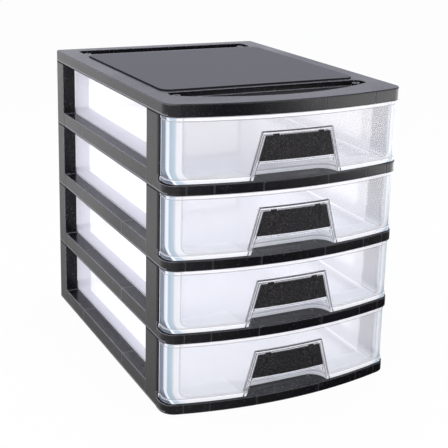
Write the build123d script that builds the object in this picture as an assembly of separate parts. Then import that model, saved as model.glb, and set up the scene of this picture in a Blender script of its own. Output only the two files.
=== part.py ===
from build123d import *
from math import sqrt
import os

# A stack of four open plastic frames under one cover, each holding a bowed drawer.
# Millimetres. +X is the user's right, +Y runs to the back, +Z is up, and the origin is
# the middle of the footprint, on the floor. Heights named here are above a tier's base,
# and places named "behind the corners" are measured back from the two front corners.

# Overall sizes
overall_width = 296.0
corner_depth = 384.0  # from the front corners to the back
front_bow = 21.0  # how far the middle of the front stands ahead of the corners
tier_count = 4
tier_pitch = 85.0
cover_height = 14.5
plateau_rise = 1.5

# Frame moulding
frame_wall = 2.2
web_thickness = 2.0
front_corner_radius = 18.0
rear_corner_radius = 6.0
front_rail_height = 11.0
front_rail_back = 24.0  # behind the corners
side_rail_height = 17.2
side_rail_width = 16.5
rail_lip_rise = 1.0
rail_lip_width = 1.4
runner_width = 14.5
rail_relief = 0.4  # the rails' outer faces stand in from the posts' faces
rail_marks = (135.0, 280.0)  # mould lines on the side rails, behind the corners
front_marks = (41.0, 97.0, 127.0)  # mould lines on the front rail, each side of the middle
mark_width = 0.9
mark_depth = 0.35
seam_height = 0.6  # rebate round the base, which shows where two tiers meet
seam_depth = 0.5
rib_thickness = 1.6

# Corner posts
front_post_back_set = 22.8  # front of the front posts, behind the corners
front_post_depth = 34.0
rear_post_depth = 30.0
post_edge_radius = 2.0
spigot_height = 7.5
spigot_wall = 1.8
spigot_clearance = 0.2

# Cover
cover_web = 2.5
cover_edge = 1.0  # bevel round the cover's top
plateau_side_margin = 23.0  # inside the cover's sides
plateau_front = 66.0  # behind the corners
plateau_rear_margin = 62.0  # ahead of the back
plateau_radius = 13.0
plateau_edge = 0.6  # bevel round the raised field
groove_depth = 7.0
front_groove_side_margin = 23.0
front_groove_gap = 7.0  # ahead of the raised field
front_groove_end = 40.0  # behind the corners
front_groove_middle = 7.0
rear_groove_side_margin = 24.5
rear_groove_rear_margin = 18.0  # ahead of the back
rear_groove_width = 33.0
groove_end_radius = 9.0
boss_radius = 4.5
boss_bore_radius = 2.3
boss_inset = 9.5  # from the end of the groove
boss_below_top = 1.6
cover_marks = (33.0, 103.0)
cover_rib_height = 6.0
cover_rib_count = 3

# Drawer
drawer_wall = 2.0
panel_wall = 2.2
drawer_side_gap = 1.8  # to the side rails, at the rim
drawer_rear_gap = 2.5  # to the rear rail, at the rim
drawer_rim_gap = 6.0  # under the next frame
drawer_corner_radius = 8.0  # outside, at the back and round the floor
runner_clearance = 0.3
panel_side_margin = 3.0  # inside the frame's sides
panel_setback = 1.8  # behind the front rail's face
panel_corner_radius = 15.0
panel_base_gap = 1.7  # over the front rail
panel_top_gap = 1.0  # under the next frame
panel_post_gap = 0.8
bottom_lip_height = 3.8
bottom_lip_proud = 1.0
top_lip_height = 3.0
top_lip_proud = 0.5
front_floor_back = 12.0  # behind the corners
drawer_held_length = 41.0  # of the tray, behind the front rail at full travel
stop_gap = 1.0
stop_half_width = 30.0
stop_thickness = 3.0
stop_clearance = 0.4

# Handle recess, insert plate and finger scoop
handle_bottom_half = 53.0
handle_top_half = 40.2
handle_top = 61.0
rim_width = 4.0
rim_top_width = 3.5
rim_proud = 1.0
pocket_depth = 2.6
pocket_floor = 2.0
insert_bottom = 33.5
insert_thickness = 2.2
insert_clearance = 0.25
insert_tab_width = 8.0
insert_tab_height = 2.0
insert_tab_place = 28.0
scoop_top = 31.0
scoop_back = 3.0  # behind the corners
scoop_radius = 18.0
deck_groove_place = 39.5

# Places that follow from the sizes above
half_width = overall_width / 2
rear_y = (corner_depth + front_bow) / 2
corner_y = rear_y - corner_depth
tip_y = corner_y - front_bow
bow_radius = (half_width**2 + front_bow**2) / (2 * front_bow)
bow_centre_y = tip_y + bow_radius
inner_half = half_width - side_rail_width
rear_inner_y = rear_y - side_rail_width
front_post_y = corner_y + front_post_back_set
rear_post_y = rear_y - rear_post_depth
front_rail_y = corner_y + front_rail_back
stack_top = tier_count * tier_pitch
panel_top = tier_pitch - panel_top_gap
wing_end_y = front_post_y - panel_post_gap
drawer_floor = front_rail_height + runner_clearance
drawer_half_width = inner_half - drawer_side_gap
drawer_back = corner_depth - side_rail_width - drawer_rear_gap  # behind the corners
drawer_rim_height = tier_pitch - drawer_rim_gap
drawer_travel = drawer_back - front_rail_back - drawer_held_length
panel_half_width = half_width - panel_side_margin
panel_base = front_rail_height + panel_base_gap
plateau_half_width = half_width - plateau_side_margin
plateau_back = corner_depth - plateau_rear_margin  # behind the corners
front_groove_half = half_width - front_groove_side_margin
front_groove_back = plateau_front - front_groove_gap
rear_groove_half = half_width - rear_groove_side_margin
rear_groove_back = corner_depth - rear_groove_rear_margin
rear_groove_front = rear_groove_back - rear_groove_width
handle_slope = (handle_bottom_half - handle_top_half) / (handle_top - panel_base)
everywhere = 500.0  # longer than the whole stack, for cuts that run right through
overrun = 1.0  # how far a cut runs past the face it opens


def block(x_range, y_range, z_range):
    """A box given by its two limits along each axis."""
    ranges = (x_range, y_range, z_range)
    centre = [(low + high) / 2 for low, high in ranges]
    size = [high - low for low, high in ranges]
    return Pos(*centre) * Box(*size)


def patch(x_range, y_range):
    """A flat rectangle given by its limits in plan."""
    centre = [(low + high) / 2 for low, high in (x_range, y_range)]
    return Pos(*centre) * Rectangle(x_range[1] - x_range[0], y_range[1] - y_range[0])


def slab(face, low_z, high_z):
    """A plan outline raised between two heights."""
    return extrude(Pos(0, 0, low_z) * face, high_z - low_z, dir=(0, 0, 1))


def both_sides(shape):
    """The shape and its mirror image across the middle plane."""
    return shape + mirror(shape, about=Plane.YZ)


def bow_y(x, setback=0.0):
    """Place of the bowed front at x, or of an arc set back from it."""
    return bow_centre_y - sqrt((bow_radius - setback) ** 2 - x**2)


def bowed_plan(half, setback, back_y, front_radius=0.0, rear_radius=0.0):
    """An outline with straight sides and back and a front that follows the bow."""
    edge_y = bow_y(half, setback)
    front = ThreePointArc((-half, edge_y), (0, bow_y(0, setback)), (half, edge_y))
    rest = Polyline((half, edge_y), (half, back_y), (-half, back_y), (-half, edge_y))
    outline = make_face(front + rest)
    if front_radius:
        outline = fillet(outline.vertices().sort_by(Axis.Y)[:2], front_radius)
    if rear_radius:
        outline = fillet(outline.vertices().sort_by(Axis.Y)[-2:], rear_radius)
    return outline


def bow_band(front_setback, back_setback, high_z):
    """The curved wall between two arcs that follow the bow, from a tier's base up."""
    front = bowed_plan(half_width, front_setback, rear_y)
    back = bowed_plan(half_width, back_setback, rear_y)
    return slab(front - back, 0, high_z)


# ---- frame ----


def frame_plan(inset=0.0):
    """The frame's outline in plan, or one inside it by the same inset all round."""
    radii = (front_corner_radius - inset, rear_corner_radius - inset)
    return bowed_plan(half_width - inset, inset, rear_y - inset, *radii)


def side_channel(inset, height):
    """Side and rear rails behind the front posts' faces, filled up to a height."""
    behind = patch((-half_width, half_width), (front_post_y + inset, rear_y))
    hole = patch(
        (-inner_half - inset, inner_half + inset),
        (tip_y, rear_inner_y + inset),
    )
    return slab((frame_plan(inset) & behind) - hole, 0, height)


def post_plans(inset):
    """Sections of the left front and left rear posts, inset on every side."""
    x_range = (-half_width + inset, -inner_half - inset)
    front = patch(x_range, (front_post_y + inset, front_post_y + front_post_depth - inset))
    if inset < post_edge_radius:
        front = fillet(front.vertices().sort_by(Axis.X)[:2], post_edge_radius - inset)
    rear = patch(x_range, (rear_post_y + inset, rear_y - inset)) & frame_plan(inset)
    return front, rear


def corner_tubes(inset, low_z, high_z):
    """The four posts' sections raised between two heights."""
    front, rear = post_plans(inset)
    return both_sides(slab(front, low_z, high_z) + slab(rear, low_z, high_z))


def front_rail():
    """The bowed channel that the drawer's front stands over, open below."""
    reach = patch((-half_width, half_width), (tip_y, front_rail_y))
    hollow_reach = patch((-half_width, half_width), (tip_y, front_rail_y - frame_wall))
    outside = slab(frame_plan() & reach, 0, front_rail_height)
    hollow = slab(frame_plan(frame_wall) & hollow_reach, 0, front_rail_height - web_thickness)
    return outside - hollow


def side_rails():
    """Inverted channels with a raised outer lip, cross ribs and the drawer's runners."""
    rails = side_channel(0, side_rail_height)
    rails -= side_channel(frame_wall, side_rail_height - web_thickness)
    lip = slab(frame_plan() - frame_plan(rail_lip_width), side_rail_height, side_rail_height + rail_lip_rise)
    rails += lip & block((-everywhere, everywhere), (front_post_y, everywhere), (0, tier_pitch))
    runner = block(
        (-inner_half - frame_wall, -inner_half + runner_width),
        (front_rail_y - frame_wall, rear_inner_y + frame_wall),
        (front_rail_height - web_thickness, front_rail_height),
    )
    ribs = [
        block(
            (-half_width + frame_wall, -inner_half - frame_wall),
            (corner_y + place - rib_thickness / 2, corner_y + place + rib_thickness / 2),
            (0, side_rail_height - web_thickness),
        )
        for place in rail_marks
    ]
    return rails + both_sides(runner + ribs)


def rail_relief_cut():
    """Thin cuts that set the rails' outer faces back between the posts."""
    height_range = (0, side_rail_height + rail_lip_rise)
    side = block(
        (-half_width - overrun, -half_width + rail_relief),
        (front_post_y + front_post_depth, rear_post_y),
        height_range,
    )
    rear = block((-inner_half, inner_half), (rear_y - rail_relief, rear_y + overrun), height_range)
    return both_sides(side) + rear


def seam_rebate():
    """A narrow rebate round the base, behind the front rail, as a shadow line between tiers."""
    band = frame_plan() - frame_plan(seam_depth)
    return slab(band & patch((-everywhere, everywhere), (front_post_y, everywhere)), 0, seam_height)


def mould_lines():
    """Fine grooves across the side rails and down the front rail."""
    cuts = Part()
    for place in rail_marks:
        y_range = (corner_y + place - mark_width / 2, corner_y + place + mark_width / 2)
        face = block((-half_width, -half_width + rail_relief + mark_depth), y_range, (0, tier_pitch))
        ledge = block((-half_width, -inner_half), y_range, (side_rail_height - mark_depth, tier_pitch))
        cuts += both_sides(face + ledge)
    front = bow_band(0, mark_depth, front_rail_height)
    for place in front_marks:
        strip = block((place - mark_width / 2, place + mark_width / 2), (-everywhere, 0), (0, tier_pitch))
        cuts += both_sides(front & strip)
    return cuts


def deck_grooves():
    """Two grooves, front to back, on the deck that shows through the finger scoop."""
    groove = block(
        (deck_groove_place - mark_width, deck_groove_place + mark_width),
        (tip_y, corner_y + scoop_back),
        (front_rail_height - 2 * mark_depth, front_rail_height + overrun),
    )
    return both_sides(groove)


def tier_frame():
    """One tier: a ring of channel rails, four hollow posts and their spigots."""
    frame = front_rail() + side_rails()
    posts = corner_tubes(0, 0, tier_pitch) - corner_tubes(frame_wall, 0, tier_pitch - web_thickness)
    socket = corner_tubes(frame_wall, 0, side_rail_height - web_thickness)
    seat = frame_wall + spigot_clearance
    spigots = corner_tubes(seat, tier_pitch, tier_pitch + spigot_height)
    spigots -= corner_tubes(seat + spigot_wall, tier_pitch, tier_pitch + spigot_height)
    frame = (frame - socket) + posts
    cuts = [rail_relief_cut(), seam_rebate(), mould_lines(), deck_grooves()]
    return (frame - cuts) + spigots


# ---- cover ----


def front_groove_plan(growth=0.0):
    """Crescent groove behind the cover's front edge."""
    half = front_groove_half + growth
    back = corner_y + front_groove_back + growth
    end = corner_y + front_groove_end - growth
    middle = corner_y + front_groove_middle - growth
    front = ThreePointArc((-half, end), (0, middle), (half, end))
    rest = Polyline((half, end), (half, back), (-half, back), (-half, end))
    outline = make_face(front + rest)
    return fillet(outline.vertices(), groove_end_radius + growth)


def rear_groove_plan(growth=0.0):
    """Straight groove near the cover's back edge."""
    y_range = (corner_y + rear_groove_front - growth, corner_y + rear_groove_back + growth)
    outline = patch((-rear_groove_half - growth, rear_groove_half + growth), y_range)
    return fillet(outline.vertices(), groove_end_radius + growth)


def groove_bosses(radius, low_z, high_z):
    """Round bosses near both ends of both grooves."""
    front_place = (front_groove_end + front_groove_back) / 2
    rear_place = (rear_groove_front + rear_groove_back) / 2
    bosses = Part()
    for half, place in ((front_groove_half, front_place), (rear_groove_half, rear_place)):
        disc = Pos(half - boss_inset, corner_y + place) * Circle(radius)
        bosses += both_sides(slab(disc, low_z, high_z))
    return bosses


def cover_ribs():
    """A grid of stiffening ribs under the plateau."""
    low_z = cover_height - cover_web - cover_rib_height
    high_z = cover_height - cover_web / 2
    front = corner_y + front_groove_back + frame_wall / 2
    back = corner_y + rear_groove_front - frame_wall / 2
    ribs = Part()
    for step in range(cover_rib_count):
        x = plateau_half_width * (2 * (step + 1) / (cover_rib_count + 1) - 1)
        ribs += block((x - rib_thickness / 2, x + rib_thickness / 2), (front, back), (low_z, high_z))
        y = front + (back - front) * (step + 1) / (cover_rib_count + 1)
        side = half_width - frame_wall / 2
        ribs += block((-side, side), (y - rib_thickness / 2, y + rib_thickness / 2), (low_z, high_z))
    return ribs


def cover_mould_lines():
    """Fine grooves down the cover's front face."""
    front = bow_band(0, mark_depth, cover_height)
    cuts = Part()
    for place in cover_marks:
        x_range = (place - mark_width / 2, place + mark_width / 2)
        cuts += front & block(x_range, (-everywhere, 0), (0, everywhere))
    return cuts


def top_cover():
    """The lid of the stack: a skirted plate with a plateau, two grooves and post sockets."""
    skirted = slab(frame_plan(), 0, cover_height)
    skirted = chamfer(skirted.edges().group_by(Axis.Z)[-1], cover_edge)
    skirted -= slab(frame_plan(frame_wall), 0, cover_height - cover_web)
    plateau_range = (corner_y + plateau_front, corner_y + plateau_back)
    plateau = patch((-plateau_half_width, plateau_half_width), plateau_range)
    plateau = fillet(plateau.vertices(), plateau_radius)
    raised = slab(plateau, cover_height, cover_height + plateau_rise)
    raised = chamfer(raised.edges().group_by(Axis.Z)[-1], plateau_edge)
    floor_z = cover_height - groove_depth
    troughs = slab(front_groove_plan(frame_wall), floor_z - web_thickness, cover_height - cover_web / 2)
    troughs += slab(rear_groove_plan(frame_wall), floor_z - web_thickness, cover_height - cover_web / 2)
    grooves = slab(front_groove_plan(), floor_z, cover_height + overrun)
    grooves += slab(rear_groove_plan(), floor_z, cover_height + overrun)
    bosses = groove_bosses(boss_radius, floor_z - web_thickness / 2, cover_height - boss_below_top)
    bores = groove_bosses(boss_bore_radius, floor_z - web_thickness - overrun, cover_height)
    sockets = corner_tubes(0, 0, cover_height - cover_web / 2)
    sockets -= corner_tubes(frame_wall, 0, cover_height - cover_web)
    shell = skirted + raised + cover_ribs() + troughs
    return (shell + sockets - grooves) + bosses - bores - cover_mould_lines()


# ---- drawer ----


def panel_plan(proud=0.0):
    """The drawer front's outline in plan, with its corners turned back to the posts."""
    return bowed_plan(
        panel_half_width + proud,
        panel_setback - proud,
        wing_end_y,
        panel_corner_radius + proud,
    )


def tray_block():
    """The tray behind the front, filled, with its back corners and floor edge rounded."""
    back_y = corner_y + drawer_back
    plan = bowed_plan(drawer_half_width, panel_setback + panel_wall / 2, back_y, 0, drawer_corner_radius)
    body = slab(plan, drawer_floor, drawer_rim_height)
    floor_edges = body.edges().group_by(Axis.Z)[0].filter_by(lambda edge: edge.center().Y > corner_y)
    return fillet(floor_edges, drawer_corner_radius)


def tray_hollow():
    """The tray's inside, rounded by the same radius at all four corners and the floor."""
    radius = drawer_corner_radius - drawer_wall
    back_y = corner_y + drawer_back - drawer_wall
    plan = bowed_plan(drawer_half_width - drawer_wall, panel_setback + panel_wall, back_y, radius, radius)
    body = slab(plan, drawer_floor + drawer_wall, tier_pitch)
    return fillet(body.edges().group_by(Axis.Z)[0], radius)


def wing_gaps():
    """The clear spaces between the tray's sides and the turned-back ends of the front."""
    inside = bowed_plan(
        panel_half_width - panel_wall,
        panel_setback + panel_wall,
        wing_end_y + overrun,
        panel_corner_radius - panel_wall,
    )
    gaps = inside - patch((-drawer_half_width, drawer_half_width), (tip_y, everywhere))
    return slab(gaps, 0, tier_pitch)


def handle_wedge(growth, top_growth, low_z, high_z):
    """The handle's tapered outline, run front to back, between two heights."""
    low_half = handle_bottom_half + growth - handle_slope * (low_z - panel_base)
    high_half = handle_bottom_half + growth - handle_slope * (high_z + top_growth - panel_base)
    outline = Polyline(
        (-low_half, low_z),
        (low_half, low_z),
        (high_half, high_z + top_growth),
        (-high_half, high_z + top_growth),
        close=True,
    )
    return extrude(Plane.XZ * make_face(outline), everywhere, both=True)


def scoop(growth):
    """The finger scoop's space under the insert, or its shell when it is grown."""
    half = handle_bottom_half + growth
    plan = patch((-half, half), (tip_y - scoop_radius, corner_y + scoop_back + growth))
    plan = fillet(plan.vertices().sort_by(Axis.Y)[-2:], scoop_radius + growth)
    body = slab(plan, panel_base, scoop_top + growth)
    brow = body.edges().group_by(Axis.Z)[-1].filter_by(lambda edge: edge.center().Y > tip_y)
    return fillet(brow, scoop_radius + growth)


def tab_notches(clearance):
    """Two small blocks at the insert's top edge, where its snap tabs stand."""
    half = insert_tab_width / 2 + clearance
    notch = block(
        (insert_tab_place - half, insert_tab_place + half),
        (-everywhere, 0),
        (handle_top - insert_clearance - insert_tab_height, handle_top + insert_tab_height + clearance),
    )
    return both_sides(notch)


def drawer():
    """The moulded drawer: bowed front, drafted tray, handle rim and finger scoop."""
    behind_front = slab(bowed_plan(half_width, panel_setback + panel_wall / 2, everywhere), 0, tier_pitch)
    inside_front = slab(bowed_plan(half_width, panel_setback + panel_wall, everywhere), 0, tier_pitch)
    tray = tray_block()
    tray -= block((-everywhere, everywhere), (tip_y, corner_y + front_floor_back), (0, panel_base))
    front = slab(panel_plan(), panel_base, panel_top)
    lips = slab(panel_plan(bottom_lip_proud), panel_base, panel_base + bottom_lip_height)
    lips += slab(panel_plan(top_lip_proud), panel_top - top_lip_height, panel_top)
    shell = front + lips + tray - wing_gaps() - tray_hollow()
    front_floor = block(
        (-drawer_half_width + drawer_wall / 2, drawer_half_width - drawer_wall / 2),
        (tip_y, corner_y + front_floor_back + drawer_wall),
        (panel_base, panel_base + drawer_wall),
    )
    shell += front_floor & behind_front

    rim_setback = panel_setback - rim_proud
    pocket_setback = rim_setback + pocket_depth
    boss = handle_wedge(rim_width, rim_top_width, panel_base, handle_top)
    boss &= bow_band(rim_setback, pocket_setback + pocket_floor, tier_pitch)
    pocket = handle_wedge(0, 0, insert_bottom - insert_clearance, handle_top) + tab_notches(insert_clearance)
    pocket &= bow_band(-overrun, pocket_setback, tier_pitch)
    mouth = handle_wedge(0, 0, panel_base - bottom_lip_height, scoop_top)
    mouth &= bow_band(-overrun, pocket_setback + pocket_floor, tier_pitch)
    scoop_shell = scoop(drawer_wall) & inside_front
    shell = shell + boss + scoop_shell - pocket - mouth - (scoop(0) & inside_front)

    stop_y = front_rail_y + drawer_travel + stop_gap
    stop = block(
        (-stop_half_width, stop_half_width),
        (stop_y, stop_y + stop_thickness),
        (front_rail_height - web_thickness + stop_clearance, drawer_floor + drawer_wall / 2),
    )
    return shell + stop


def handle_insert():
    """The dark plate set in the handle recess, with two snap tabs on its top edge."""
    front_setback = panel_setback - rim_proud + pocket_depth - insert_clearance - insert_thickness
    plate = handle_wedge(-insert_clearance, -insert_clearance, insert_bottom, handle_top)
    tabs = tab_notches(0)
    return (plate + tabs) & bow_band(front_setback, front_setback + insert_thickness, tier_pitch)


pieces = {"top_cover": Pos(0, 0, stack_top) * top_cover()}
frame_shape = tier_frame()
drawer_shape = drawer()
insert_shape = handle_insert()
for tier in range(tier_count):
    lift = Pos(0, 0, tier * tier_pitch)
    pieces[f"tier_frame_{tier + 1}"] = lift * frame_shape
    pieces[f"drawer_{tier + 1}"] = lift * drawer_shape
    pieces[f"handle_insert_{tier + 1}"] = lift * insert_shape

os.makedirs("parts", exist_ok=True)
for name, shape in pieces.items():
    shape.label = name
    export_step(shape, f"parts/{name}.step")
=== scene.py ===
import math

import bmesh
import bpy
from mathutils import Matrix, Vector

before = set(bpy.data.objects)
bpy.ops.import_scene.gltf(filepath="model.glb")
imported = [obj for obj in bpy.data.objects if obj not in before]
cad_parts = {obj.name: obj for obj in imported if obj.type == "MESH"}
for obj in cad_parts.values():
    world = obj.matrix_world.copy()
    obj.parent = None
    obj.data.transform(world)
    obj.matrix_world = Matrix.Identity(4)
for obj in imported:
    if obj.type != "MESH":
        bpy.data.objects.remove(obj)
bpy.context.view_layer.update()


# camera, placed from the edges of the stack (lengths are in metres, here and below)

cameraLook = {
    "place": (-0.557142, -1.142743, 0.571459),
    "azimuth": -26.369,  # degrees, negative is to the left of the front
    "elevation": 14.750,
    "roll": 1.389,
    "lens": 83.02,  # mm
    "sensor": 36.0,  # mm
    "shift": (0.0, -0.1429),
    "farthest": 50.0,
}


def makeCamera(look):
    azimuth, elevation, roll = (math.radians(look[angle]) for angle in ("azimuth", "elevation", "roll"))
    level = math.cos(elevation)
    back = Vector((math.sin(azimuth) * level, -math.cos(azimuth) * level, math.sin(elevation)))
    right = (-back).cross(Vector((0, 0, 1))).normalized()
    up = right.cross(-back)
    tiltedRight = math.cos(roll) * right + math.sin(roll) * up
    tiltedUp = math.cos(roll) * up - math.sin(roll) * right
    turn = Matrix((tiltedRight, tiltedUp, back)).transposed().to_4x4()
    data = bpy.data.cameras.new("camera")
    data.sensor_fit = "HORIZONTAL"
    data.sensor_width = look["sensor"]
    data.lens = look["lens"]
    data.shift_x, data.shift_y = look["shift"]
    data.clip_end = look["farthest"]
    camera = bpy.data.objects.new("camera", data)
    bpy.context.scene.collection.objects.link(camera)
    camera.matrix_world = Matrix.Translation(look["place"]) @ turn
    bpy.context.scene.camera = camera


makeCamera(cameraLook)
bpy.context.scene.view_settings.view_transform = "Standard"
print("camera: placed")


# small helpers for node trees


def addNode(tree, kind, **settings):
    node = tree.nodes.new(kind)
    for name, value in settings.items():
        setattr(node, name, value)
    return node


def feed(tree, socket, source):
    if isinstance(source, bpy.types.NodeSocket):
        tree.links.new(source, socket)
    elif source is not None:
        socket.default_value = source


def calc(tree, operation, first, second=None, clamp=False):
    node = addNode(tree, "ShaderNodeMath", operation=operation, use_clamp=clamp)
    feed(tree, node.inputs[0], first)
    feed(tree, node.inputs[1], second)
    return node.outputs[0]


def both(tree, first, *others):
    for other in others:
        first = calc(tree, "MULTIPLY", first, other)
    return first


def either(tree, first, *others):
    for other in others:
        first = calc(tree, "MAXIMUM", first, other)
    return first


def over(tree, value, limit):
    return calc(tree, "GREATER_THAN", value, limit)


def under(tree, value, limit):
    return calc(tree, "LESS_THAN", value, limit)


def minus(tree, value, taken):
    return calc(tree, "SUBTRACT", value, taken)


def apart(tree, value, place):
    return calc(tree, "ABSOLUTE", minus(tree, value, place))


def spread(tree, value, low, high, newLow=0.0, newHigh=1.0):
    node = addNode(tree, "ShaderNodeMapRange", interpolation_type="SMOOTHSTEP")
    feed(tree, node.inputs["Value"], value)
    feed(tree, node.inputs["From Min"], low)
    feed(tree, node.inputs["From Max"], high)
    feed(tree, node.inputs["To Min"], newLow)
    feed(tree, node.inputs["To Max"], newHigh)
    return node.outputs["Result"]


def swap(tree, mask, outside, within):
    return spread(tree, mask, 0.0, 1.0, outside, within)


def blendColour(tree, share, first, second):
    node = addNode(tree, "ShaderNodeMix", data_type="RGBA")
    feed(tree, node.inputs["Factor"], share)
    feed(tree, node.inputs[6], first)
    feed(tree, node.inputs[7], second)
    return node.outputs[2]


def pieceSpace(tree):
    return addNode(tree, "ShaderNodeTexCoord").outputs["Object"]


def axesOf(tree, vector):
    node = addNode(tree, "ShaderNodeSeparateXYZ")
    feed(tree, node.inputs[0], vector)
    return node.outputs


def surfaceWay(tree, kind):
    return addNode(tree, "ShaderNodeNewGeometry").outputs[kind]


def noise(tree, place, scale, detail=3.0, roughness=0.5):
    node = addNode(tree, "ShaderNodeTexNoise")
    feed(tree, node.inputs["Vector"], place)
    feed(tree, node.inputs["Scale"], scale)
    feed(tree, node.inputs["Detail"], detail)
    feed(tree, node.inputs["Roughness"], roughness)
    return node.outputs["Fac"]


def ramp(tree, value, stops):
    low, high = stops[0][0], stops[-1][0]
    node = addNode(tree, "ShaderNodeValToRGB")
    node.color_ramp.interpolation = "EASE"
    places = node.color_ramp.elements
    while len(places) < len(stops):
        places.new(0.5)
    for place, (where, colour) in zip(places, stops):
        place.position = (where - low) / (high - low)
        place.color = colour
    feed(tree, node.inputs["Fac"], calc(tree, "DIVIDE", minus(tree, value, low), high - low))
    return node.outputs["Color"], node.outputs["Alpha"]


def bumped(tree, look, height, normal):
    node = addNode(tree, "ShaderNodeBump")
    feed(tree, node.inputs["Strength"], look["bump"])
    feed(tree, node.inputs["Distance"], look["bumpDepth"])
    feed(tree, node.inputs["Height"], height)
    feed(tree, node.inputs["Normal"], normal)
    return node.outputs["Normal"]


def newGroup(name, inputs, outputs):
    tree = bpy.data.node_groups.new(name, "ShaderNodeTree")
    for label, value in inputs.items():
        socket = tree.interface.new_socket(label, in_out="INPUT", socket_type="NodeSocketFloat")
        socket.default_value = value
    for label, kind in outputs.items():
        tree.interface.new_socket(label, in_out="OUTPUT", socket_type="NodeSocket" + kind)
    return tree, addNode(tree, "NodeGroupInput").outputs, addNode(tree, "NodeGroupOutput").inputs


def useGroup(tree, group, **values):
    node = addNode(tree, "ShaderNodeGroup", node_tree=group)
    for label, value in values.items():
        feed(tree, node.inputs[label], value)
    return node.outputs


def newMaterial(name):
    material = bpy.data.materials.new(name)
    material.use_nodes = True
    return material, material.node_tree, material.node_tree.nodes["Principled BSDF"].inputs


# effects that the materials share

effectLook = {
    "wearSamples": 4,
    "flowShare": 0.6,  # of the moulding's height
    "grainShare": 0.4,
    "scuffStretch": (1.0, 9.0, 6.0),
    "scuffTurn": (0.2, 0.1, 0.5),
    "scuffNoise": (4.0, 0.7),  # detail and roughness
    "scuffRange": (0.60, 0.72),
    "dustFacing": (0.6, 1.0),  # how far a face looks up, for no dust and for all of it
    "dustScale": 420.0,
    "dustRange": (0.52, 0.75),
}


# a mask of the edges from rounded normals, used for edge wear and for a painted highlight along the edges
def makeEdgeWearAndHighlight(look):
    tree, given, out = newGroup("edgeWearAndHighlight", {"Width": 0.0008, "Strength": 1.0}, {"Mask": "Float", "Normal": "Vector"})
    bevel = addNode(tree, "ShaderNodeBevel", samples=look["wearSamples"])
    feed(tree, bevel.inputs["Radius"], given["Width"])
    turn = addNode(tree, "ShaderNodeVectorMath", operation="DOT_PRODUCT")
    feed(tree, turn.inputs[0], bevel.outputs["Normal"])
    feed(tree, turn.inputs[1], surfaceWay(tree, "Normal"))
    bent = minus(tree, 1.0, turn.outputs["Value"])
    feed(tree, out["Mask"], calc(tree, "MULTIPLY", bent, given["Strength"], clamp=True))
    feed(tree, out["Normal"], bevel.outputs["Normal"])
    return tree


def makeMoulding(look):
    tree, given, out = newGroup("moulding", {"Grain": 900.0, "Flow": 9.0}, {"Height": "Float", "Cloud": "Float"})
    place = pieceSpace(tree)
    fine = both(tree, noise(tree, place, given["Grain"], detail=2.0), look["grainShare"])
    wide = noise(tree, place, given["Flow"])
    feed(tree, out["Height"], calc(tree, "ADD", both(tree, wide, look["flowShare"]), fine))
    feed(tree, out["Cloud"], wide)
    return tree


def makeScuffs(look):
    tree, given, out = newGroup("scuffs", {"Amount": 0.5, "Scale": 60.0}, {"Mask": "Float"})
    stretch = addNode(tree, "ShaderNodeMapping")
    stretch.inputs["Scale"].default_value = look["scuffStretch"]
    stretch.inputs["Rotation"].default_value = look["scuffTurn"]
    feed(tree, stretch.inputs["Vector"], pieceSpace(tree))
    lines = noise(tree, stretch.outputs["Vector"], given["Scale"], *look["scuffNoise"])
    thin = spread(tree, lines, *look["scuffRange"])
    feed(tree, out["Mask"], calc(tree, "MULTIPLY", thin, given["Amount"], clamp=True))
    return tree


def makeDust(look):
    tree, given, out = newGroup("dust", {"Amount": 0.5}, {"Mask": "Float"})
    upward = spread(tree, axesOf(tree, surfaceWay(tree, "Normal"))["Z"], *look["dustFacing"])
    specks = noise(tree, pieceSpace(tree), look["dustScale"], detail=2.0)
    specks = both(tree, upward, spread(tree, specks, *look["dustRange"]))
    feed(tree, out["Mask"], calc(tree, "MULTIPLY", specks, given["Amount"], clamp=True))
    return tree


edgeWearAndHighlight, moulding = makeEdgeWearAndHighlight(effectLook), makeMoulding(effectLook)
scuffs, dust = makeScuffs(effectLook), makeDust(effectLook)
print("effects: ready")


# black frame plastic, for the tier frames and the cover

frameLook = {
    "colour": (0.0052, 0.0046, 0.0060, 1),
    # pale colour of edge wear and specks, also a painted highlight along the edges and above the tier seams
    "wornAndHighlightColour": (0.400, 0.390, 0.430, 1),
    "dustColour": (0.16, 0.16, 0.165, 1),
    "roughness": (0.18, 0.30),
    "cloudRange": (0.3, 0.7),  # of the moulding's cloud, for those two
    "specular": 0.30,
    "edgeWidth": 0.0016,
    "edgeStrength": (0.9, 4.6),  # edge wear and painted edge highlight, on the bowed front and behind it
    "frontEnds": (-0.186, -0.178),
    "grain": 1100.0,
    "flow": 7.0,
    "scuffs": (0.6, 45.0),  # amount and scale
    "scuffRoughness": 0.12,
    "dust": 0.35,
    "specks": (0.1, 0.18),  # on the bowed front and behind it
    "speckNoise": (330.0, 4.0, 0.65),  # scale, detail and roughness
    "speckRange": (0.55, 0.80),
    "tierHeight": 0.085,
    "seam": 0.0009,  # half height of the painted shade line in the gap between two tiers
    "seamHighlight": (0.0018, 0.00072),  # middle and half height of the painted highlight line above it
    "seamHighlightShare": 0.45,
    "shadeRoughness": 0.95,  # of the painted shade lines
    "bump": 0.05,
    "bumpDepth": 0.0006,
}

fieldLook = {  # the raised matt field of the cover
    "middle": (0.0, 0.0125),
    "half": (0.125, 0.128),
    "corner": 0.013,
    "aboveHeight": 0.3551,
    "colour": (0.056, 0.056, 0.063, 1),
    "outline": (0.0004, 0.0009),  # middle and half width of the painted shade line round it
    "outlineReach": 0.0039,  # the painted shade shows this near to the left and the front edge
    "outlineAbove": 0.3541,
    "roughness": 0.50,
    "grain": 1400.0,
    "bump": 0.12,
}


# the raised field, and a painted shade line on its step along the left and front edges
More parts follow.
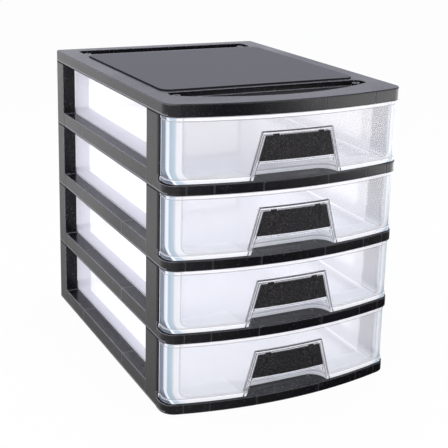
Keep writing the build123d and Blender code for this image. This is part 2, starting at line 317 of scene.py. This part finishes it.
def insideField(tree, look):
    place = axesOf(tree, pieceSpace(tree))
    squares, shaded = [], []
    for axis, middle, half in zip("XY", look["middle"], look["half"]):
        beyond = minus(tree, apart(tree, place[axis], middle), half - look["corner"])
        squares.append(calc(tree, "POWER", either(tree, beyond, 0.0), 2.0))
        shaded.append(under(tree, place[axis], middle - half + look["outlineReach"]))
    away = minus(tree, calc(tree, "SQRT", calc(tree, "ADD", *squares)), look["corner"])
    inside = both(tree, under(tree, away, 0.0), over(tree, place["Z"], look["aboveHeight"]))
    ring, halfWidth = look["outline"]
    outline = both(tree, under(tree, apart(tree, away, ring), halfWidth), either(tree, *shaded))
    return inside, both(tree, outline, over(tree, place["Z"], look["outlineAbove"]))


# the tier seam: a painted shade line in the gap between two tiers, with a painted highlight line just above it
def tierSeam(tree, place, look):
    half = look["tierHeight"] / 2
    level = calc(tree, "MODULO", calc(tree, "ADD", place["Z"], half), look["tierHeight"])
    level = minus(tree, level, half)
    behind = over(tree, place["Y"], look["frontEnds"][1])
    seamShade = both(tree, behind, under(tree, calc(tree, "ABSOLUTE", level), look["seam"]))
    middle, lightHalf = look["seamHighlight"]
    light = both(tree, behind, under(tree, apart(tree, level, middle), lightHalf))
    return seamShade, both(tree, light, look["seamHighlightShare"])


def makeFramePlastic(name, look, field=None):
    material, tree, shader = newMaterial(name)
    place = axesOf(tree, pieceSpace(tree))
    # paler edges behind the bowed front: painted highlight as well as wear
    wearAndHighlightStrength = spread(tree, place["Y"], *look["frontEnds"], *look["edgeStrength"])
    wearAndHighlight = useGroup(tree, edgeWearAndHighlight, Width=look["edgeWidth"], Strength=wearAndHighlightStrength)
    mould = useGroup(tree, moulding, Grain=look["grain"], Flow=look["flow"])
    amount, scale = look["scuffs"]
    scratches = useGroup(tree, scuffs, Amount=amount, Scale=scale)["Mask"]
    settled = useGroup(tree, dust, Amount=look["dust"])["Mask"]
    speck = spread(tree, noise(tree, pieceSpace(tree), *look["speckNoise"]), *look["speckRange"])
    speck = both(tree, speck, spread(tree, wearAndHighlightStrength, *look["edgeStrength"], *look["specks"]))
    # painted shade and painted highlight along the tier seams
    seamShade, light = tierSeam(tree, place, look)
    paleWearAndHighlight = calc(tree, "SUBTRACT", either(tree, wearAndHighlight["Mask"], speck, light), seamShade, clamp=True)
    colour = blendColour(tree, paleWearAndHighlight, look["colour"], look["wornAndHighlightColour"])
    colour = blendColour(tree, settled, colour, look["dustColour"])
    rough = spread(tree, mould["Cloud"], *look["cloudRange"], *look["roughness"])
    rough = calc(tree, "ADD", rough, both(tree, scratches, look["scuffRoughness"]))
    rough = swap(tree, seamShade, rough, look["shadeRoughness"])
    height = mould["Height"]
    if field:
        inside, outline = insideField(tree, field)
        colour = blendColour(tree, inside, colour, field["colour"])
        colour = blendColour(tree, outline, colour, look["colour"])
        rough = swap(tree, inside, rough, field["roughness"])
        rough = swap(tree, outline, rough, look["shadeRoughness"])
        grain = noise(tree, pieceSpace(tree), field["grain"], detail=2.0)
        height = swap(tree, inside, height, both(tree, grain, field["bump"] / look["bump"]))
    feed(tree, shader["Base Color"], colour)
    feed(tree, shader["Roughness"], rough)
    feed(tree, shader["Normal"], bumped(tree, look, height, wearAndHighlight["Normal"]))
    shader["Specular IOR Level"].default_value = look["specular"]
    return material


# milky drawer plastic

drawerLook = {
    "colour": (0.905, 0.89, 0.90, 1),
    # bluish grey laid on as painted shade towards the foot of each tier, its strength varied by the cloudy noise
    "coolShadeColour": (0.70, 0.73, 0.79, 1),
    "coolHeights": (0.060, 0.020),  # none of it, and all of it
    "coolCloud": (0.2, 0.8),
    "coolShare": (0.5, 1.0),
    "edgeHighlightColour": (0.97, 0.98, 1.0, 1),
    "alpha": 0.24,
    "cloudRange": (0.25, 0.75),
    "cloudAlpha": (-0.03, 0.03),
    "edgeAlpha": 0.88,
    "glow": 0.61,  # painted glow: emission that stands in for the light the milky plastic passes on from behind
    "frontY": -0.15,  # ahead of this is the bowed front
    "corner": [  # distance from the middle, colour and opacity of the turned corner's bands of painted shade and painted reflection
        (0.1290, (0.905, 0.89, 0.90, 0.24)),
        (0.1304, (0.52, 0.54, 0.57, 0.50)),
        (0.1320, (0.74, 0.74, 0.75, 0.60)),
        (0.1362, (0.70, 0.71, 0.72, 0.60)),
        (0.1388, (0.42, 0.50, 0.56, 0.60)),
        (0.1420, (0.38, 0.47, 0.54, 0.65)),
        (0.1434, (0.78, 0.81, 0.84, 0.70)),
        (0.1444, (0.80, 0.84, 0.90, 0.60)),
        (0.1450, (0.08, 0.10, 0.14, 0.78)),
    ],
    "mainCorner": (0.1290, 0.0205, 0.008),  # half width, foot and corner radius of the panel's plain middle
    "besideHandle": 0.0575,  # the panel has its rounded foot outside this
    "wingEdge": -0.1607,  # behind this is the rear edge of a turned corner, painted with a highlight
    "sideX": 0.1262,  # outside this is a wall of the tray
    "sideOuter": 0.1287,
    "sideColour": (0.93, 0.925, 0.95, 1),
    "lilacShade": (0.56, 0.555, 0.64, 1),
    "lilacBelow": 0.0345,  # the painted shade band runs along the wall's foot and its rear end
    "lilacBehind": 0.120,
    "sideAlpha": 0.55,
    "sideGlow": 0.76,
    "rimShadeColour": (0.02, 0.02, 0.024, 1),
    "creases": (0.0173, 0.0803),  # painted shade lines where the panel meets its two lips
    "creaseWidth": 0.0005,
    "creaseShadeColour": (0.34, 0.33, 0.34, 1),
    "creaseSolid": 0.6,
    "bottomLip": 0.0168,  # heights within a tier
    "topLip": 0.0805,
    "lipSolid": 0.5,
    "roughness": 0.24,
    "tierHeight": 0.085,
    "edgeWidth": 0.0011,
    "edgeStrength": 3.0,
    "grain": 700.0,
    "flow": 6.0,
    "scuffs": (0.5, 35.0),
    "scuffRoughness": 0.12,
    "bump": 0.05,
    "bumpDepth": 0.0006,
}

handleLook = {  # the painted shade lines round the raised rim, which narrows towards its top
    "half": 0.053,
    "slope": 0.265,
    "base": 0.0127,
    "top": 0.061,
    "rim": 0.0043,
    "line": 0.0007,  # half width
    "ahead": -0.191,
    "facing": -0.6,  # how far a face has to look forward
}


# painted shade lines at the steps of the handle's raised rim, on forward-facing faces
def handleRimShade(tree, place, across, height, look):
    slant = both(tree, minus(tree, height, look["base"]), look["slope"])
    beside = minus(tree, calc(tree, "ADD", across, slant), look["half"])
    away = either(tree, beside, minus(tree, height, look["top"]))
    nearest = calc(tree, "MINIMUM", apart(tree, away, look["rim"]), calc(tree, "ABSOLUTE", away))
    facing = axesOf(tree, surfaceWay(tree, "True Normal"))["Y"]
    ahead = both(tree, under(tree, place["Y"], look["ahead"]), under(tree, facing, look["facing"]))
    return both(tree, ahead, under(tree, nearest, look["line"]))


# distance for the painted shade and reflection bands round the panel's plain middle, at its sides and its rounded
# foot
def turnedCorner(tree, across, height, look):
    half, foot, radius = look["mainCorner"]
    aside = either(tree, minus(tree, across, half - radius), 0.0)
    below = either(tree, minus(tree, foot + radius, height), 0.0)
    below = both(tree, below, over(tree, across, look["besideHandle"]))
    squares = [calc(tree, "POWER", gap, 2.0) for gap in (aside, below)]
    reach = calc(tree, "SQRT", calc(tree, "ADD", *squares))
    return either(tree, across, calc(tree, "ADD", reach, half - radius))


def makeDrawerPlastic(name, look, handle):
    material, tree, shader = newMaterial(name)
    place = axesOf(tree, pieceSpace(tree))
    across = calc(tree, "ABSOLUTE", place["X"])
    height = calc(tree, "MODULO", place["Z"], look["tierHeight"])
    wearAndHighlight = useGroup(tree, edgeWearAndHighlight, Width=look["edgeWidth"], Strength=look["edgeStrength"])
    mould = useGroup(tree, moulding, Grain=look["grain"], Flow=look["flow"])
    amount, scale = look["scuffs"]
    scratches = useGroup(tree, scuffs, Amount=amount, Scale=scale)["Mask"]

    # where each part of the moulding is
    front = under(tree, place["Y"], look["frontY"])
    turned = turnedCorner(tree, across, height, look)
    corner = both(tree, front, over(tree, turned, look["mainCorner"][0]))
    wing = both(tree, front, over(tree, place["Y"], look["wingEdge"]), over(tree, across, look["corner"][-2][0]))
    side = calc(tree, "SUBTRACT", over(tree, across, look["sideX"]), front, clamp=True)
    # painted shade in a lilac band along the tray wall's foot and rear end
    lilacShadeBand = either(tree, under(tree, height, look["lilacBelow"]), over(tree, place["Y"], look["lilacBehind"]))
    lilacShadeBand = both(tree, lilacShadeBand, over(tree, across, look["sideOuter"]))
    lines = handleRimShade(tree, place, across, height, handle)
    # painted shade in the creases at the lips
    crease = calc(tree, "MINIMUM", *(apart(tree, height, level) for level in look["creases"]))
    crease = both(tree, under(tree, crease, look["creaseWidth"]), front)
    lip = either(tree, under(tree, height, look["bottomLip"]), over(tree, height, look["topLip"]))

    # painted shade towards the foot of each tier
    cool = spread(tree, mould["Cloud"], *look["coolCloud"], *look["coolShare"])
    cool = both(tree, spread(tree, height, *look["coolHeights"]), cool)
    cornerShadeAndReflection, cornerAlpha = ramp(tree, turned, look["corner"])
    sideColour = blendColour(tree, lilacShadeBand, look["sideColour"], look["lilacShade"])
    colour = blendColour(tree, cool, look["colour"], look["coolShadeColour"])
    colour = blendColour(tree, corner, colour, cornerShadeAndReflection)
    # near white along the turned corner's rear edge and along all edges: painted highlight
    colour = blendColour(tree, wing, colour, look["edgeHighlightColour"])
    colour = blendColour(tree, side, colour, sideColour)
    colour = blendColour(tree, wearAndHighlight["Mask"], colour, look["edgeHighlightColour"])
    colour = blendColour(tree, lines, colour, look["rimShadeColour"])
    colour = blendColour(tree, crease, colour, look["creaseShadeColour"])

    alpha = spread(tree, mould["Cloud"], *look["cloudRange"], *look["cloudAlpha"])
    alpha = calc(tree, "ADD", alpha, look["alpha"])
    alpha = swap(tree, corner, alpha, cornerAlpha)
    alpha = swap(tree, side, alpha, look["sideAlpha"])
    solid = either(tree, both(tree, lip, look["lipSolid"]), wearAndHighlight["Mask"])
    solid = either(tree, solid, either(tree, lines, both(tree, crease, look["creaseSolid"])))
    alpha = swap(tree, solid, alpha, look["edgeAlpha"])
    # painted glow: the drawer plastic emits light in its own colour, more on the side walls
    glow = both(tree, swap(tree, side, look["glow"], look["sideGlow"]), alpha)
    rough = calc(tree, "ADD", look["roughness"], both(tree, scratches, look["scuffRoughness"]))

    feed(tree, shader["Base Color"], colour)
    feed(tree, shader["Emission Color"], blendColour(tree, glow, (0, 0, 0, 1), colour))
    shader["Emission Strength"].default_value = 1.0
    feed(tree, shader["Alpha"], alpha)
    feed(tree, shader["Roughness"], rough)
    feed(tree, shader["Normal"], bumped(tree, look, mould["Height"], wearAndHighlight["Normal"]))
    return material


# dark grained handle plates

insertLook = {
    "colour": (0.0085, 0.0078, 0.0080, 1),
    "paleGrainAndHighlightColour": (0.078, 0.073, 0.075, 1),
    "roughness": 0.62,
    "specular": 0.22,
    "grain": (620.0, 3.0, 0.6),  # scale, detail and roughness
    "peaks": (0.42, 0.80),
    "edgeWidth": 0.0006,
    "edgeStrength": 1.5,
    "bump": 0.35,
    "bumpDepth": 0.0004,
}


def makeInsertPlastic(name, look):
    material, tree, shader = newMaterial(name)
    grain = noise(tree, pieceSpace(tree), *look["grain"])
    wearAndHighlight = useGroup(tree, edgeWearAndHighlight, Width=look["edgeWidth"], Strength=look["edgeStrength"])
    # pale grain peaks, with a painted highlight along the edges
    grainPeaksAndHighlight = either(tree, spread(tree, grain, *look["peaks"]), wearAndHighlight["Mask"])
    feed(tree, shader["Base Color"], blendColour(tree, grainPeaksAndHighlight, look["colour"], look["paleGrainAndHighlightColour"]))
    shader["Roughness"].default_value = look["roughness"]
    shader["Specular IOR Level"].default_value = look["specular"]
    feed(tree, shader["Normal"], bumped(tree, look, grain, wearAndHighlight["Normal"]))
    return material


finishes = {
    "tier_frame": makeFramePlastic("framePlastic", frameLook),
    "top_cover": makeFramePlastic("coverPlastic", frameLook, fieldLook),
    "drawer": makeDrawerPlastic("drawerPlastic", drawerLook, handleLook),
    "handle_insert": makeInsertPlastic("insertPlastic", insertLook),
}
for node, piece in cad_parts.items():
    kind = node.rstrip("_1234")
    piece.data.materials.clear()
    piece.data.materials.append(finishes[kind])
print("finishes:", len(finishes), "on", len(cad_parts), "nodes")


# floor, sky and lights

stageLook = {
    "floorSize": 8.0,
    "floorColour": (0.80, 0.80, 0.82, 1),
    "floorRoughness": 0.9,
    "seenWhite": 0.95,
    "mirroredWhite": (0.03, 1.15),  # as the gloss of the front and of the left side sees it
    "turn": (0.10, -0.45),  # where it changes from the one to the other, in metres across
    "sheen": (0.80, 0.98, 4.0),  # a bright strip that the cover's right end reflects
}

skyLook = {
    "front": 0.24,
    "back": 0.92,
    "turn": (-0.9, 0.3),
    "colour": (0.88, 0.88, 1.0, 1),
    "seenColour": (1, 1, 1, 1),
}

lightLook = {
    "keyLight": {"place": (-1.3, -1.5, 1.7), "size": 1.2, "watts": 25},
    "fillLight": {"place": (1.2, -2.0, 1.1), "size": 1.2, "watts": 12},
    "topLight": {"place": (0.1, 0.3, 2.2), "size": 1.8, "watts": 17},
}
beamLook = {"colour": (0.985, 0.98, 1.0), "aim": (0, 0, 0.18)}


def makeFloor(look):
    mesh = bpy.data.meshes.new("floor")
    shape = bmesh.new()
    bmesh.ops.create_grid(shape, x_segments=1, y_segments=1, size=look["floorSize"])
    shape.to_mesh(mesh)
    shape.free()
    floor = bpy.data.objects.new("floor", mesh)
    bpy.context.scene.collection.objects.link(floor)
    material, tree, shader = newMaterial("floorPaint")
    feed(tree, shader["Base Color"], look["floorColour"])
    feed(tree, shader["Roughness"], look["floorRoughness"])
    rays = addNode(tree, "ShaderNodeLightPath").outputs
    mirrored = rays["Is Glossy Ray"]
    seen = either(tree, both(tree, rays["Is Camera Ray"], look["seenWhite"]), mirrored)
    across = axesOf(tree, pieceSpace(tree))["X"]
    start, end, bright = look["sheen"]
    strength = spread(tree, across, *look["turn"], *look["mirroredWhite"])
    strength = calc(tree, "ADD", strength, spread(tree, across, start, end, 0.0, bright))
    glow = addNode(tree, "ShaderNodeEmission")
    feed(tree, glow.inputs["Strength"], swap(tree, mirrored, 1.0, strength))
    mix = addNode(tree, "ShaderNodeMixShader")
    feed(tree, mix.inputs[0], seen)
    tree.links.new(tree.nodes["Principled BSDF"].outputs[0], mix.inputs[1])
    tree.links.new(glow.outputs[0], mix.inputs[2])
    tree.links.new(mix.outputs[0], tree.nodes["Material Output"].inputs["Surface"])
    mesh.materials.append(material)


def makeSky(look):
    world = bpy.data.worlds.new("studio")
    bpy.context.scene.world = world
    world.use_nodes = True
    tree = world.node_tree
    back = tree.nodes["Background"]
    way = axesOf(tree, addNode(tree, "ShaderNodeTexCoord").outputs["Generated"])
    strength = spread(tree, way["Y"], *look["turn"], look["front"], look["back"])
    seen = addNode(tree, "ShaderNodeLightPath").outputs["Is Camera Ray"]
    feed(tree, back.inputs["Strength"], swap(tree, seen, strength, 1.0))
    feed(tree, back.inputs["Color"], blendColour(tree, seen, look["colour"], look["seenColour"]))


def makeLight(name, look, beam):
    data = bpy.data.lights.new(name, "AREA")
    data.size = look["size"]
    data.energy = look["watts"]
    data.color = beam["colour"]
    light = bpy.data.objects.new(name, data)
    bpy.context.scene.collection.objects.link(light)
    light.location = look["place"]
    light.rotation_euler = (Vector(beam["aim"]) - light.location).to_track_quat("-Z", "Y").to_euler()


makeFloor(stageLook)
makeSky(skyLook)
for name, look in lightLook.items():
    makeLight(name, look, beamLook)
print("stage: floor, sky and", len(lightLook), "lights")
